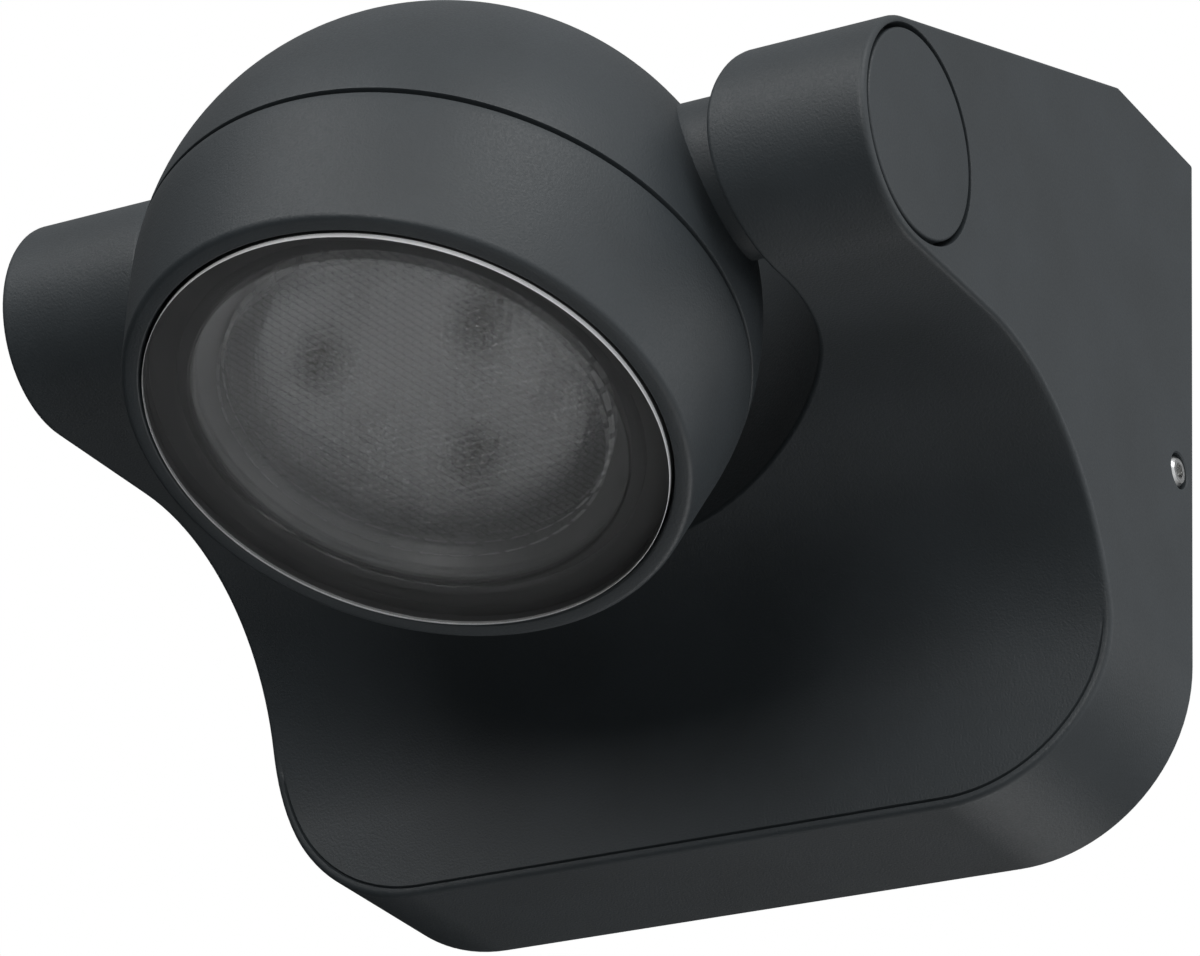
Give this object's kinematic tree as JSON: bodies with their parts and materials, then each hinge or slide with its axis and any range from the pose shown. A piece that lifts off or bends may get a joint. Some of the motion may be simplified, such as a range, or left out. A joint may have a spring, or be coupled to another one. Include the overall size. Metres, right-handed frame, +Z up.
{
  "type": "wall floodlight",
  "caption": "Outdoor LED wall floodlight: a ball-shaped lamp head with a flat lens over a prismatic plate tilts between the arms of a cast yoke on a flat wall base.",
  "frame": {"origin": "centre of the flat rear face of the wall plate, in the plane of the wall, halfway up and halfway across the base", "axes": "+Y points into the wall, so the light faces -Y; +Z is up; +X is across the light, along the tilt axis"},
  "size_m": [0.154, 0.1524, 0.12],
  "materials": {
    "powder_coat": "fine-grained satin powder coat, anthracite",
    "end_cap": "satin powder coat, anthracite, a touch smoother",
    "rubber": "matte black rubber",
    "zinc_plate": "zinc-plated sheet",
    "nylon": "natural nylon",
    "brass": "turned brass",
    "driver_case": "white moulded plastic",
    "lead_sleeve": "black silicone sleeve",
    "stainless": "bright stainless steel",
    "lens": "clear polycarbonate, prismatic on the inner plate",
    "border_mask": "near-black moulded ring",
    "reflector": "metallised plastic, soft silver grey",
    "circuit_board": "white solder mask",
    "aluminium": "milled aluminium",
    "led": "yellow phosphor under a clear dome"
  },
  "bodies": {
    "bracket": {"yoke_housing": "powder_coat", "wall_plate": "zinc_plate", "wall_gasket": "rubber", "cable_grommet": "rubber", "terminal_block": "nylon", "terminal_screw_1": "brass", "terminal_screw_2": "brass", "terminal_screw_3": "brass", "earth_screw": "brass", "driver_case": "driver_case", "mains_lead": "lead_sleeve", "driver_lead": "lead_sleeve", "driver_screw_left": "stainless", "side_screw_left": "stainless", "end_cap_left": "end_cap", "pivot_bush_left": "nylon", "spring_washer_left": "stainless", "driver_screw_right": "stainless", "side_screw_right": "stainless", "end_cap_right": "end_cap", "pivot_bush_right": "nylon", "spring_washer_right": "stainless"},
    "head": {"pivot_tube_left": "brass", "pivot_nut_left": "brass", "pivot_seal_left": "rubber", "pivot_tube_right": "brass", "pivot_nut_right": "brass", "pivot_seal_right": "rubber", "rear_shell": "powder_coat", "front_ring": "powder_coat", "seam_gasket": "rubber", "lens": "lens", "lens_gasket": "rubber", "border_mask": "border_mask", "prism_plate": "lens", "reflector_cup": "reflector", "led_board": "circuit_board", "heat_spreader": "aluminium", "head_grommet": "rubber", "head_lead": "lead_sleeve", "led_1": "led", "led_2": "led", "led_3": "led", "board_screw_1": "stainless", "board_screw_2": "stainless", "board_screw_3": "stainless", "spreader_screw_1": "stainless", "spreader_screw_2": "stainless", "spreader_screw_3": "stainless"}
  },
  "joints": [
    {"name": "head_tilt", "type": "hinge", "parent": "bracket", "child": "head", "pos_m": [0, -0.0965, 0.0165], "axis": [1, 0, 0], "range_deg": [-89.5, 20.5]}
  ]
}
